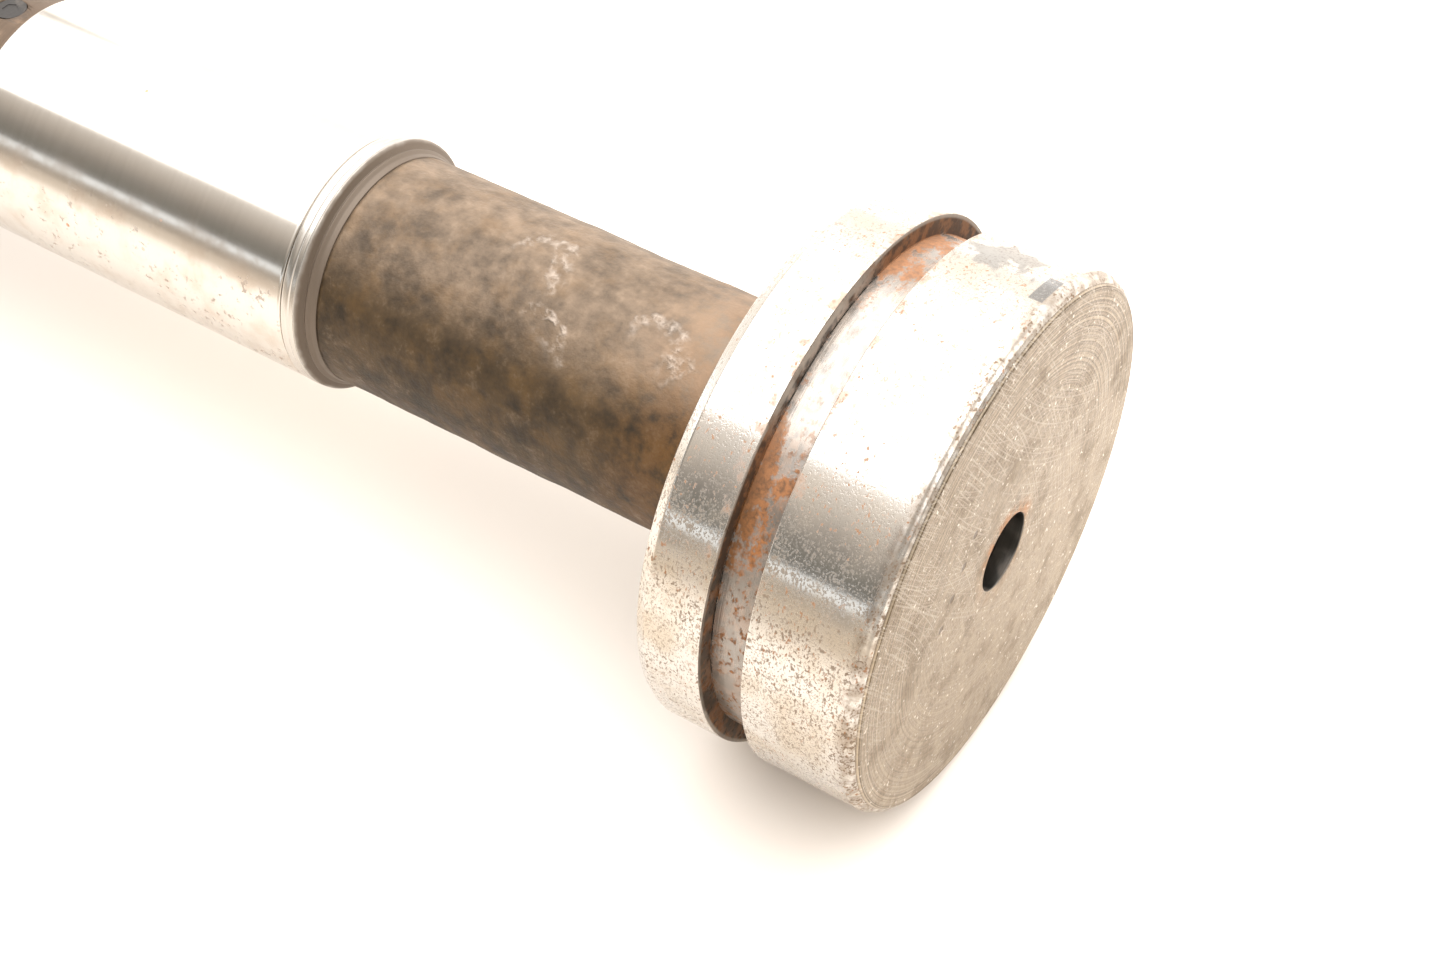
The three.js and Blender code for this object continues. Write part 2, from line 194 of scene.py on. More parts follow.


# %% [markdown]
# ## Cutting and finishing a solid
# Holes, flats and keyways are cut with Blender's Boolean modifier. It's applied at once, so the
# piece that is left is plain mesh. A weighted normal modifier then keeps the wide flat faces
# flat in the light, and lets only the narrow eased edges bend it. The same helper ties the
# piece to the body that it moves with and hides the solid that it stands for.

# %% Cut one solid with another
def carve(piece, cutter, operation="DIFFERENCE"):
    """Cut, join or trim piece with cutter, and remove the cutter."""
    step = piece.modifiers.new("cut", "BOOLEAN")
    step.operation = operation
    step.solver = "EXACT"
    step.object = cutter
    bpy.context.view_layer.update()
    solved = piece.evaluated_get(bpy.context.evaluated_depsgraph_get())
    mesh = bpy.data.meshes.new_from_object(solved)
    piece.modifiers.clear()
    piece.data = mesh
    bpy.data.objects.remove(cutter)
    return piece


def settle(piece, body, node):
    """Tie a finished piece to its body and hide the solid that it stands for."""
    normals = piece.modifiers.new("flat faces stay flat", "WEIGHTED_NORMAL")
    normals.keep_sharp = True
    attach(piece, body)
    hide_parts(node)
    print(f"{piece.name}: {len(piece.data.polygons)} faces, rides on {body}")
    return piece


# %% [markdown]
# ## Writing a finish as arithmetic
# A finish is a small network of nodes. Written out node by node it is long and hard to read, so
# three classes turn it into ordinary expressions. `Wire` holds one output of a node, and adding
# or multiplying wires adds the Math nodes that do it. `Network` makes every other node from its
# type, its settings and the values or wires of its sockets. `Finish` is a network with the
# measures that a turned piece needs, so that a pattern can follow the station or the radius.

# %% Wires
def sign(operation, swapped=False):
    """The method behind an operator, which adds a Math node of this wire and another value."""
    def method(wire, other):
        values = (other, wire) if swapped else (wire, other)
        return wire.calculate(operation, *values)
    return method


class Wire:
    """A value that varies over a surface."""

    def __init__(self, network, socket):
        self.network = network
        self.socket = socket

    def calculate(self, operation, *values):
        """Add a Math node that works on these values."""
        numbered = dict(enumerate(values))
        return self.network.node("ShaderNodeMath", {"operation": operation}, numbered)

    def __neg__(self):
        return self.calculate("MULTIPLY", self, -1.0)

    def __abs__(self):
        return self.calculate("ABSOLUTE", self)

    __add__ = __radd__ = sign("ADD")
    __mul__ = __rmul__ = sign("MULTIPLY")
    __sub__, __rsub__ = sign("SUBTRACT"), sign("SUBTRACT", swapped=True)
    __truediv__, __rtruediv__ = sign("DIVIDE"), sign("DIVIDE", swapped=True)
    __pow__, __rpow__ = sign("POWER"), sign("POWER", swapped=True)
    or_more, or_less = sign("MAXIMUM"), sign("MINIMUM")

    def rise(self, start, end):
        """0 up to start and 1 from end on, with a smooth step between; start may be higher."""
        return self.network.node(
            "ShaderNodeMapRange", {"interpolation_type": "SMOOTHSTEP"},
            {"Value": self, "From Min": start, "From Max": end},
        )


# %% Networks of nodes
def set_stops(ramp, stops):
    """Give a colour ramp these stops, each a position and a colour."""
    while len(ramp.elements) < len(stops):
        ramp.elements.new(1.0)
    for element, (position, colour) in zip(ramp.elements, stops):
        element.position = position
        element.color = (*colour, 1.0)


class Network:
    """A material's or a world's nodes."""

    def __init__(self, owner):
        owner.use_nodes = True
        self.tree = owner.node_tree
        self.tree.nodes.clear()

    def node(self, kind, settings=None, inputs=None, output=0):
        """Add a node. The inputs are numbers, colours or wires by socket name or number."""
        made = self.tree.nodes.new(kind)
        for key, value in (settings or {}).items():
            if key == "stops":
                set_stops(made.color_ramp, value)
            else:
                setattr(made, key, value)
        for key, value in (inputs or {}).items():
            if isinstance(value, Wire):
                self.tree.links.new(value.socket, made.inputs[key])
            else:
                made.inputs[key].default_value = value
        if isinstance(output, tuple):
            return [Wire(self, made.outputs[key]) for key in output]
        return Wire(self, made.outputs[output]) if made.outputs else None


# %% Finishes
class Finish(Network):
    """One material, with the measures that a turned piece needs."""

    def __init__(self, name):
        self.material = bpy.data.materials.new(name)
        super().__init__(self.material)
        self.spot = self.node("ShaderNodeTexCoord", output="Object")
        x, y, z = self.node(
            "ShaderNodeSeparateXYZ", inputs={"Vector": self.spot}, output=(0, 1, 2)
        )
        self.station = (HEAD_X - x) / MM
        self.side = y / MM
        self.up = (z - AXIS_Z) / MM
        self.radius = (self.side * self.side + self.up * self.up) ** 0.5
        self.turn = self.up.calculate("ARCTAN2", self.up, -self.side)

    def mix(self, share, under, over):
        """Lay one colour over another."""
        under, over = [c if isinstance(c, Wire) else (*c, 1.0) for c in (under, over)]
        return self.node(
            "ShaderNodeMix", {"data_type": "RGBA"}, {0: share, 6: under, 7: over}, output=2
        )

    def stretch(self, sizes, seed):
        """The spot on the piece, scaled so that a pattern has these sizes in millimetres."""
        scale = [1 / (size * MM) for size in sizes]
        shift = (seed * 3.17, seed * 7.31, seed * 1.93)
        return self.node(
            "ShaderNodeMapping", inputs={"Vector": self.spot, "Scale": scale, "Location": shift}
        )

    def cloud(self, *sizes, seed=0.0, detail=3.0, rough=0.55):
        """Soft noise, 0 to 1, with one size in millimetres or one each for x, y and z."""
        sizes = sizes if len(sizes) == 3 else sizes * 3
        spot = self.stretch(sizes, seed)
        sockets = {"Vector": spot, "Scale": 1.0, "Detail": detail, "Roughness": rough}
        return self.node("ShaderNodeTexNoise", inputs=sockets, output="Fac")

    def ribbon(self, distance):
        """Noise, 0 to 1, that changes only with one measure, so it lies in lines."""
        sockets = {"W": distance, "Scale": 1.0, "Detail": 2.0}
        return self.node("ShaderNodeTexNoise", {"noise_dimensions": "1D"}, sockets, output="Fac")

    def specks(self, size, share, seed=0.0, spread=0.30):
        """Small round spots in a share of the cells of a net this many millimetres wide."""
        sockets = {"Vector": self.stretch((size,) * 3, seed), "Scale": 1.0}
        distance, colour = self.node(
            "ShaderNodeTexVoronoi", inputs=sockets, output=("Distance", "Color")
        )
        chance = self.node("ShaderNodeSeparateColor", inputs={"Color": colour})
        near = distance.rise(spread, spread * 0.5)
        return near * chance.rise(share, share * 0.8)

    def distance(self, side, up, station=None):
        """Distance in millimetres to a line along the axis, or to a point if it has a station."""
        squares = (self.side - side) ** 2 + (self.up - up) ** 2
        if station is not None:
            squares = squares + (self.station - station) ** 2
        return squares ** 0.5

    def bump(self, height, depth):
        """Turn a height of 0 to 1 into a bent normal; depth is in millimetres."""
        sockets = {"Height": height, "Distance": depth * MM, "Strength": 1.0}
        return self.node("ShaderNodeBump", inputs=sockets)

    def steel(self, colour, roughness, metal, normal, **steady):
        """Close the network with the shader and hand back the material."""
        shader = self.node("ShaderNodeBsdfPrincipled", inputs={
            "Base Color": colour, "Roughness": roughness, "Metallic": metal, "Normal": normal,
            **steady,
        })
        self.node("ShaderNodeOutputMaterial", inputs={"Surface": shader})
        return self.material


# %% [markdown]
# ## Ground steel on the lands
# The rims of the head were ground between centres. The grit leaves hair lines that run round
# the piece, too fine to see one by one, and they smear a reflection along the axis. Damp air
# has since eaten brown pits into the surface and left orange specks. Pits and rust are dull and
# not metal any more, so the same masks that colour them also lift the roughness and take down
# the metal. The lines are noise stretched by a hundred to one round the rim.

# %% Ground lands with pits and rust specks
STEEL_LIGHT = (0.65, 0.625, 0.59)
STEEL_DARK = (0.51, 0.485, 0.45)
RUST_ORANGE = (0.50, 0.20, 0.065)
RUST_DULL = (0.27, 0.120, 0.045)
RUST_BROWN = (0.16, 0.075, 0.028)
HAZE_STRAW = (0.44, 0.35, 0.235)
PIT_BROWN = (0.15, 0.092, 0.048)
SMUDGE_GREY = (0.17, 0.165, 0.16)


def ground_land():
    finish = Finish("ground land")
    lines = finish.cloud(0.16, 14, 14, detail=2)
    wide_lines = finish.cloud(0.8, 40, 40, seed=2, detail=2)
    patches = finish.cloud(9, seed=3)
    lower = (finish.up.rise(33, 12) * 0.65 + finish.up.rise(29, 36) * 0.35) + 0.35
    pits = finish.cloud(0.42, 0.62, 0.62, seed=4, detail=2).rise(0.55, 0.64)
    pits = pits * finish.cloud(4.5, seed=5, detail=4).rise(0.36, 0.55)
    fine_pits = finish.cloud(0.26, 0.34, 0.34, seed=6, detail=1).rise(0.54, 0.66)
    fine_pits = fine_pits * finish.cloud(5, seed=7).rise(0.34, 0.52)
    pitted = (pits + fine_pits * 0.7).or_less(1.0) * lower
    haze = finish.cloud(7, seed=16, detail=5).rise(0.36, 0.66) * lower
    broken_edge = finish.station.rise(2.1, 1.8)
    edge_stain = finish.station.rise(3.4, 1.6) * finish.cloud(1.6, seed=17).rise(0.35, 0.6)
    rust_specks = finish.cloud(0.45, 0.75, 0.75, seed=8, detail=2).rise(0.61, 0.69)
    rust_specks = rust_specks * finish.cloud(8, seed=9, detail=4).rise(0.42, 0.58)
    by_groove = abs(finish.station - COLLAR_START + 3.0).rise(6.2, 3.2)
    by_groove = by_groove * (0.10 + 0.10 * finish.up.rise(12, 26))
    bloom = (finish.cloud(1.8, 2.6, 2.6, seed=10, detail=5) + by_groove).rise(0.67, 0.79)
    rust = (rust_specks + bloom * 0.6).or_less(1.0)
    hollow = finish.cloud(2.6, 3.6, 3.6, seed=14, detail=4)
    smudge = (hollow - finish.distance(13.5, 35.5, station=11.5) * 0.055).rise(0.20, 0.34)
    rub = abs(finish.station - 3.1).rise(1.05, 0.85) * abs(finish.side - 9.6).rise(3.3, 3.0)
    rub = rub * finish.up.rise(30, 32) * finish.cloud(0.8, seed=15).rise(0.22, 0.36)
    dull = (pitted * 0.8 + rust).or_less(1.0)
    colour = finish.mix(lines * 0.5 + patches * 0.5, STEEL_DARK, STEEL_LIGHT)
    colour = finish.mix(haze * 0.55, colour, HAZE_STRAW)
    colour = finish.mix((pitted * 0.8 + edge_stain * 0.5).or_less(0.9), colour, PIT_BROWN)
    colour = finish.mix(rust * 0.85, colour, RUST_DULL)
    colour = finish.mix((smudge * 0.65 + rub * 0.9).or_less(0.9), colour, SMUDGE_GREY)
    roughness = 0.05 + 0.03 * lines + 0.03 * patches + 0.05 * haze + 0.40 * dull
    roughness = roughness + 0.2 * smudge + 0.15 * edge_stain + 0.16 * broken_edge
    height = 0.5 * lines + 0.35 * wide_lines - 0.8 * pitted
    metal = 1 - (0.75 * dull + 0.25 * haze).or_less(0.85)
    return finish.steel(colour, roughness, metal, finish.bump(height, 0.016))


LAND = ground_land()
print("made", LAND.name)

# %% [markdown]
# ## Rust in the groove
# The groove was turned and never ground, and dirt and damp stay in it. Rust is heaviest in the
# corner against the rear wall, where the narrow collar meets the disc, and in patches at the
# top and low on the near side. Between them lies a painted highlight: in the band where the
# overhead reflection falls, the floor is kept free of stain and rust, and the wall and the rim
# edge are painted lighter. Masks that depend on the station and on the turn round the axis put
# it there, broken up by two sizes of noise.

# %% Rusty groove
GROOVE_RADIUS = HEAD_RADIUS - 2.8


def rusty_groove():
    finish = Finish("rusty groove")
    lines = finish.cloud(0.22, 14, 14, detail=2)
    corner = finish.station.rise(COLLAR_START - 3.0, COLLAR_START - 0.4)
    top = finish.up.rise(18, 33)
    coarse = finish.cloud(3.0, 5.0, 5.0, seed=2, detail=5, rough=0.62)
    fine = finish.cloud(0.55, seed=3, detail=3)
    on_wall = finish.radius.rise(GROOVE_RADIUS - 0.1, GROOVE_RADIUS + 0.1)
    low = finish.up.rise(4, -26)
    specks = finish.cloud(0.7, 1.1, 1.1, seed=6, detail=3).rise(0.54, 0.64)
    specks = specks * finish.cloud(4, seed=7, detail=3).rise(0.36, 0.56)
    # Painted highlight: the band round the axis where the overhead reflection falls; the floor
    # there is kept free of stain and rust.
    bare_and_lit_band = finish.turn.rise(0.86, 1.02) * finish.turn.rise(1.74, 1.46)
    rusty = finish.turn.rise(1.42, 1.72).or_more(abs(finish.turn - 0.72).rise(0.36, 0.16) * 0.88)
    rust = coarse + 0.12 * corner + 0.16 * rusty + 0.25 * fine + 0.04 * low
    rust = (rust - 0.07 * bare_and_lit_band).rise(0.74, 0.86).or_more(specks * (1 - 0.75 * bare_and_lit_band))
    stain = finish.cloud(5, seed=4, detail=4).rise(0.36, 0.66) * (1 - bare_and_lit_band)
    grime = (on_wall * 0.8 + low * 0.45).or_less(0.9)
    colour = finish.mix(lines, (0.76, 0.72, 0.67), (0.86, 0.83, 0.79))
    colour = finish.mix(stain * 0.35, colour, (0.34, 0.25, 0.17))
    colour = finish.mix(grime, colour, (0.11, 0.070, 0.038))
    rust_colour = finish.mix(fine.rise(0.32, 0.62), RUST_BROWN, RUST_ORANGE)
    rust_colour = finish.mix(corner * (1 - top) * 0.75, rust_colour, (0.17, 0.070, 0.016))
    rust_colour = finish.mix(low * 0.8, rust_colour, (0.15, 0.075, 0.02))
    rust_colour = finish.mix(top * 0.55, rust_colour, (0.62, 0.33, 0.19))
    crust = finish.cloud(1.3, 2.2, 2.2, seed=8, detail=5, rough=0.65)
    wall_colour = finish.mix(crust.rise(0.44, 0.58), (0.030, 0.017, 0.008), (0.165, 0.074, 0.028))
    # Painted highlight: the dark wall is painted lighter in the same band, over its crust.
    worn_and_lit_wall = bare_and_lit_band * crust.rise(0.36, 0.56)
    wall_colour = finish.mix(worn_and_lit_wall * 0.75, wall_colour, (0.40, 0.33, 0.27))
    colour = finish.mix(rust, colour, rust_colour)
    colour = finish.mix(on_wall * 0.9, colour, wall_colour)
    # The bare rim edge, painted wider and lighter in the same band as a painted highlight.
    rim_and_highlight = (finish.radius + 0.9 * bare_and_lit_band).rise(HEAD_RADIUS - 0.75, HEAD_RADIUS - 0.35)
    colour = finish.mix(rim_and_highlight * 0.8, colour, (0.34, 0.30, 0.255))
    roughness = 0.16 + 0.08 * lines + 0.20 * grime + 0.45 * rust
    height = 0.4 * lines + 0.8 * rust * fine
    metal = 1 - (0.85 * rust + 0.7 * on_wall - 0.5 * rim_and_highlight).or_less(0.9)
    return finish.steel(colour, roughness, metal, finish.bump(height, 0.05))


GROOVE = rusty_groove()
print("made", GROOVE.name)

# %% [markdown]
# ## The head's face
# The face was faced off on a lathe and then rubbed by hand, so it has two kinds of mark: fine
# rings about the centre, clearest near the rim, and long arcs that cross them. Handling has
# turned it a warm straw grey, with soft stains and bright nicks. The rings come from noise on
# the distance from the axis. The crossing arcs come from the distance to four far-off points,
# which gives curves of large radius. A few plain punch dots stand where a turner marks a piece.

# %% Faced and rubbed steel
# Each dot is a distance to the side and up. Each far-off point has a fineness of lines as well.
PUNCH_DOTS = [(-17.0, 1.5), (-14.6, 5.2), (-12.2, 8.9), (-9.8, 12.6)]
FAR_POINTS = [(-70, -20, 3.2), (60, 75, 3.0), (-30, 95, 2.6), (20, 60, 4.0)]


def head_face():
    finish = Finish("head face")
    rings = finish.ribbon(finish.radius * 7.0).rise(0.30, 0.70)
    broad_rings = finish.ribbon(finish.radius * 1.8 + 31.0).rise(0.32, 0.68)
    ring_share = finish.radius.rise(16, 34) * (finish.up.rise(-14, 8) * 0.45 + 0.15) + 0.15
    ring_share = ring_share.or_more(finish.radius.rise(32.5, 35.5) * 0.75)
    upper = finish.up.rise(-16, 16) * 0.75 + 0.25
    broken = finish.cloud(6, seed=2, detail=4)
    arcs = 0.0
    for number, (side, up, fineness) in enumerate(FAR_POINTS):
        lines = finish.ribbon(finish.distance(side, up) * fineness + number * 11.3)
        arcs = arcs + lines.rise(0.56, 0.692)
    arcs = (arcs * upper * broken.rise(0.34, 0.56)).or_less(1.0)
    stains = finish.cloud(7, seed=3, detail=6, rough=0.65).rise(0.46, 0.66)
    soft = finish.cloud(1.8, seed=4, detail=5, rough=0.65)
    grain = finish.cloud(0.42, seed=5, detail=3)
    nicks = finish.cloud(0.75, seed=6, detail=2).rise(0.66, 0.72)
    spots = finish.cloud(1.0, seed=7, detail=2).rise(0.62, 0.70)
    spots = spots * finish.cloud(7, seed=8).rise(0.42, 0.58)
    mouth = finish.radius.rise(8.5, 5.9) * (0.15 + 0.85 * finish.up.rise(0, 5))
    dots = None
    for side, up in PUNCH_DOTS:
        dot = finish.distance(side, up).rise(0.85, 0.40)
        dots = dot if dots is None else dots.or_more(dot)
    ringed = (rings * 0.65 + broad_rings * 0.35) * ring_share + (1 - ring_share) * 0.5
    tone_and_painted_reflection = ringed * 0.66 + soft * 0.26 + grain * 0.30
    # Painted reflection: the face is painted lighter towards the bottom and darker towards the
    # top, standing in for the room that it reflects.
    tone_and_painted_reflection = tone_and_painted_reflection + 0.10 * finish.up.rise(30, -30) - 0.055
    colour = finish.mix(tone_and_painted_reflection.rise(0.32, 0.85), (0.100, 0.076, 0.052), (0.44, 0.365, 0.275))
    colour = finish.mix(stains * 0.42, colour, (0.14, 0.105, 0.068))
    colour = finish.mix(arcs * 0.35, colour, (0.58, 0.53, 0.47))
    colour = finish.mix(spots * 0.7, colour, PIT_BROWN)
    colour = finish.mix(nicks * 0.7, colour, (0.85, 0.81, 0.75))
    colour = finish.mix(mouth * soft.rise(0.35, 0.6) * 0.55, colour, RUST_ORANGE)
    colour = finish.mix(dots * 0.75, colour, (0.10, 0.075, 0.06))
    roughness = 0.34 + 0.12 * soft + 0.10 * stains - 0.08 * nicks + 0.2 * mouth
    height = ringed * 0.8 + arcs * 0.6 + grain * 0.5 - dots * 3.0 - spots * 0.8
    return finish.steel(colour, roughness, 1 - 0.5 * spots, finish.bump(height, 0.045))


FACE = head_face()
print("made", FACE.name)

# %% [markdown]
# ## Forging scale
# The bar was forged hot and never machined between its seats. Hot steel grows a skin of dark
# oxide, and the hammer and handling break it, so it is mottled: near black where the scale is
# whole, brown where it has flaked, and rubbed to a dull shine on the high spots. It is only
# partly metallic. Three sizes of noise give patches, flakes and grain. The upper side is painted
# a lighter brown, a painted sheen of the overhead light, and paler still near the head, a
# painted highlight. In three places the scale has blistered and curled, which leaves pale,
# broken edges.

# %% Mottled scale
BLISTERS = [
    # station, angle in degrees and width in millimetres
    (71.5, 81, 7.0), (65.0, 53, 4.6), (50.0, 66, 6.4),
]


def curled_scale(finish, around):
    """The raised, wandering edges of the scale at the blistered spots of the bar."""
    wander = (finish.cloud(4.2, seed=21, detail=3) - 0.5) * 10.0
    total = None
    for station, angle, width in BLISTERS:
        off = around - math.radians(angle) * SHANK_RADIUS
        distance = ((finish.station - station) ** 2 + off * off) ** 0.5 + wander
        above = (off - (finish.station - station) * 0.6).rise(width * -0.5, width * 0.3)
        edge = abs(distance - width * 0.6).rise(1.6, 0.2) * above
        total = edge if total is None else total.or_more(edge)
    return total * finish.cloud(1.6, seed=22, detail=3).rise(0.36, 0.66)


def forging_scale():
    finish = Finish("forging scale")
    patches = finish.cloud(9, 7, 7, seed=1, detail=6, rough=0.6)
    flakes = finish.cloud(2.4, seed=2, detail=5, rough=0.6)
    ochre = finish.cloud(6, seed=4, detail=5, rough=0.65).rise(0.46, 0.70)
    grain = finish.cloud(0.5, seed=3, detail=3)
    raised = curled_scale(finish, finish.turn * SHANK_RADIUS)
    near_head = finish.station.rise(HEAD_END + 26, HEAD_END)
    worn = (flakes * 0.7 + grain * 0.4).rise(0.58, 0.78)
    mottle = (patches * 0.55 + flakes * 0.45).rise(0.28, 0.70)
    colour = finish.mix(mottle, (0.012, 0.008, 0.004), (0.078, 0.046, 0.018))
    colour = finish.mix(ochre * 0.45, colour, (0.115, 0.062, 0.018))
    # Painted sheen: the upper side of the bar is painted in this lighter brown, standing in for
    # the overhead light; its mottle and ochre patches are the scale's own.
    painted_sheen_colour = finish.mix(mottle, (0.070, 0.048, 0.030), (0.260, 0.185, 0.125))
    painted_sheen_colour = finish.mix(ochre * 0.32, painted_sheen_colour, (0.200, 0.115, 0.050))
    colour = finish.mix(finish.up.rise(7.6, 17.3) * 0.85, colour, painted_sheen_colour)
    # Painted highlight: the top of the bar next to the head is painted pale.
    painted_highlight_near_head = near_head * finish.up.rise(11, 17) * 0.35
    colour = finish.mix(painted_highlight_near_head, colour, (0.44, 0.35, 0.27))
    colour = finish.mix(worn * 0.16, colour, (0.32, 0.25, 0.19))
    rusty = near_head * flakes.rise(0.30, 0.60)
    colour = finish.mix(rusty * 0.5, colour, (0.22, 0.095, 0.022))
    colour = finish.mix(raised * 0.60, colour, (0.45, 0.38, 0.32))
    roughness = 0.50 - 0.12 * worn + 0.14 * grain - 0.06 * patches - 0.12 * raised
    metal = 0.10 + 0.25 * worn + 0.30 * raised
    height = patches * 0.5 + flakes * 0.8 + grain * 0.35 + raised * 0.9
    sheen = {"Specular IOR Level": 0.30}
    return finish.steel(colour, roughness, metal, finish.bump(height, 0.22), **sheen)


SCALE = forging_scale()
print("made", SCALE.name)

# %% [markdown]
# ## Bright, turned, blacked and browned steel
# The seat is ground finer than the head, so it is close to a mirror, with only faint lines and
# a few brown freckles. The keys and washer are hardened steel with a plain turned surface, and
# the bushes are the same steel, darkened by oil. The nut and screws are blacked: a thin dark
# oxide over fine machining marks, rubbed bright on high spots. The lock ring has a brown oxide
# of the same kind. The narrow band beside the seat is bright steel that has browned unevenly.

# %% Bright seat
def bright_seat():
    finish = Finish("bright ground seat")
    lines = finish.cloud(0.14, 22, 22, detail=2)
    patches = finish.cloud(12, seed=2)
    freckles = finish.cloud(1.2, seed=3, detail=3, rough=0.6).rise(0.58, 0.66)
    freckles = freckles * finish.cloud(6, seed=6).rise(0.42, 0.58) * finish.up.rise(10, 5)
    haze = finish.cloud(5, seed=4, detail=4).rise(0.42, 0.70) * finish.up.rise(15, 7)
    rust = finish.specks(3.0, 0.05, seed=5, spread=0.16)
    colour = finish.mix(lines * 0.6 + patches * 0.4, (0.55, 0.52, 0.48), (0.67, 0.635, 0.59))
    colour = finish.mix(haze * 0.35, colour, (0.40, 0.29, 0.20))
    colour = finish.mix(freckles * 0.55, colour, (0.24, 0.15, 0.09))
    colour = finish.mix(rust * 0.8, colour, RUST_ORANGE)
    marks = (freckles + rust).or_less(1.0)
    roughness = 0.075 + 0.05 * lines + 0.06 * patches + 0.35 * marks + 0.10 * haze
    return finish.steel(colour, roughness, 1 - 0.7 * marks, finish.bump(lines, 0.005))


# %% Turned steel, oxide and the browned band
def turned_steel(name, dark, light):
    finish = Finish(name)
    lines = finish.cloud(0.28, 16, 16, detail=2)
    rings = finish.ribbon(finish.radius * 3.4)
    dirt = finish.cloud(4, seed=2, detail=4).rise(0.46, 0.68)
    colour = finish.mix(lines, dark, light)
    colour = finish.mix(dirt * 0.55, colour, (0.13, 0.09, 0.06))
    roughness = 0.26 + 0.10 * lines + 0.25 * dirt
    height = lines * 0.6 + rings * 0.5
    return finish.steel(colour, roughness, 1 - 0.4 * dirt, finish.bump(height, 0.02))


def black_oxide(name, dark, light, rubbed_colour):
    finish = Finish(name)
    lines = finish.cloud(0.3, 9, 9, detail=2)
    grain = finish.cloud(0.5, seed=2, detail=2)
    rubbed = finish.cloud(5, seed=3, detail=5).rise(0.54, 0.74)
    colour = finish.mix(lines, dark, light)
    colour = finish.mix(rubbed * 0.55, colour, rubbed_colour)
    roughness = 0.36 + 0.14 * grain + 0.08 * lines - 0.08 * rubbed
    return finish.steel(colour, roughness, 0.55 + 0.35 * rubbed, finish.bump(lines + grain, 0.02))


def browned_band():
    finish = Finish("browned turned band")
    lines = finish.cloud(0.2, 14, 14, detail=2)
    brown = finish.station.rise(BAND_START + 3.2, BAND_START + 1.6)
    patchy = finish.cloud(3.5, seed=2, detail=4)
    stain = (brown * 0.8 + patchy * 0.5).rise(0.35, 0.95)
    colour = finish.mix(lines, (0.46, 0.43, 0.39), (0.60, 0.57, 0.53))
    colour = finish.mix(stain * 0.9, colour, (0.095, 0.062, 0.036))
    roughness = 0.18 + 0.10 * lines + 0.28 * stain
    return finish.steel(colour, roughness, 1 - 0.6 * stain, finish.bump(lines, 0.02))


BRIGHT = bright_seat()
BAND = browned_band()
PLAIN = turned_steel("turned steel", (0.34, 0.32, 0.29), (0.52, 0.49, 0.45))
OILED = turned_steel("oiled steel", (0.095, 0.090, 0.083), (0.19, 0.18, 0.163))
BLACK = black_oxide("black oxide", (0.022, 0.020, 0.019), (0.052, 0.046, 0.042),
                    (0.20, 0.17, 0.145))
BROWNED = black_oxide("browned oxide", (0.070, 0.045, 0.028), (0.135, 0.090, 0.058),
                      (0.26, 0.18, 0.125))
print("made", BRIGHT.name, BAND.name, PLAIN.name, BLACK.name, BROWNED.name)

# %% [markdown]
# ## The head
# The head is a disc with a wide front land, a groove, and a hub that goes back inside a
# narrower collar. The front edge was broken in three fine steps with the turning tool, which
# reads as a pale ring around the face. The rear collar has three counterbored holes for the
# screws that hold it.

# %% Head disc
FACE_RADIUS = HEAD_RADIUS - 1.3
FRONT_LAND_END = 16.2
HUB_RADIUS = 24.08
HOLE_RADIUS = 5.6
SPIGOT_BORE = 14.1
SPIGOT_STOP = 13.0
IN_FACE, IN_LAND, IN_GROOVE, IN_PLAIN, IN_HOLE = range(5)

head_outline = [
    (0.0, HOLE_RADIUS, IN_FACE),
    (0.0, FACE_RADIUS - 0.1, IN_FACE),
    (0.45, FACE_RADIUS + 0.25, IN_LAND),
    (0.75, FACE_RADIUS + 0.75, IN_LAND),
    (1.15, FACE_RADIUS + 0.90, IN_LAND),
    (1.55, FACE_RADIUS + 1.22, IN_LAND),
    (1.95, HEAD_RADIUS, IN_LAND),
    (FRONT_LAND_END, HEAD_RADIUS, IN_GROOVE),
    (FRONT_LAND_END + 0.1, GROOVE_RADIUS, IN_GROOVE),
    (COLLAR_START - 0.05, GROOVE_RADIUS, IN_PLAIN),
    (COLLAR_START - 0.05, HUB_RADIUS, IN_PLAIN),
    (HEAD_END, HUB_RADIUS, IN_PLAIN),
    (HEAD_END, SPIGOT_BORE, IN_PLAIN),
    (SPIGOT_STOP, SPIGOT_BORE, IN_PLAIN),
    (SPIGOT_STOP, HEAD_BUSH_RADIUS + 0.1, IN_PLAIN),
    (HEAD_BUSH_START - 0.05, HEAD_BUSH_RADIUS + 0.1, IN_PLAIN),
    (HEAD_BUSH_START - 0.05, HOLE_RADIUS, IN_HOLE),
]
head_finishes = [FACE, LAND, GROOVE, PLAIN, OILED]
head = turned_ring("head_front_disc", head_outline, 0.22, head_finishes, 360)
settle(head, "root", "head_disc")

# %% Rear collar of the head, with its screw holes
COUNTERBORE_RADIUS = 4.45
COUNTERBORE_DEPTH = 5.6
collar_outline = [
    (COLLAR_START, HUB_RADIUS + 0.1, IN_GROOVE),
    (COLLAR_START, HEAD_RADIUS, IN_LAND),
    (COLLAR_END - 1.6, HEAD_RADIUS, IN_LAND),
    (COLLAR_END, HEAD_RADIUS - 0.9, IN_LAND),
    (COLLAR_END, HUB_RADIUS + 0.1, IN_PLAIN),
]
collar = turned_ring("head_back_collar", collar_outline, 0.22, head_finishes, 360)


def plug(name, start, end, radius, sides=64):
    """A plain round cutter about the axis."""
    shape = [(start, 0.0, 0), (start, radius, 0), (end, radius, 0), (end, 0.0, 0)]
    return turned(name, shape, [PLAIN], sides=sides)


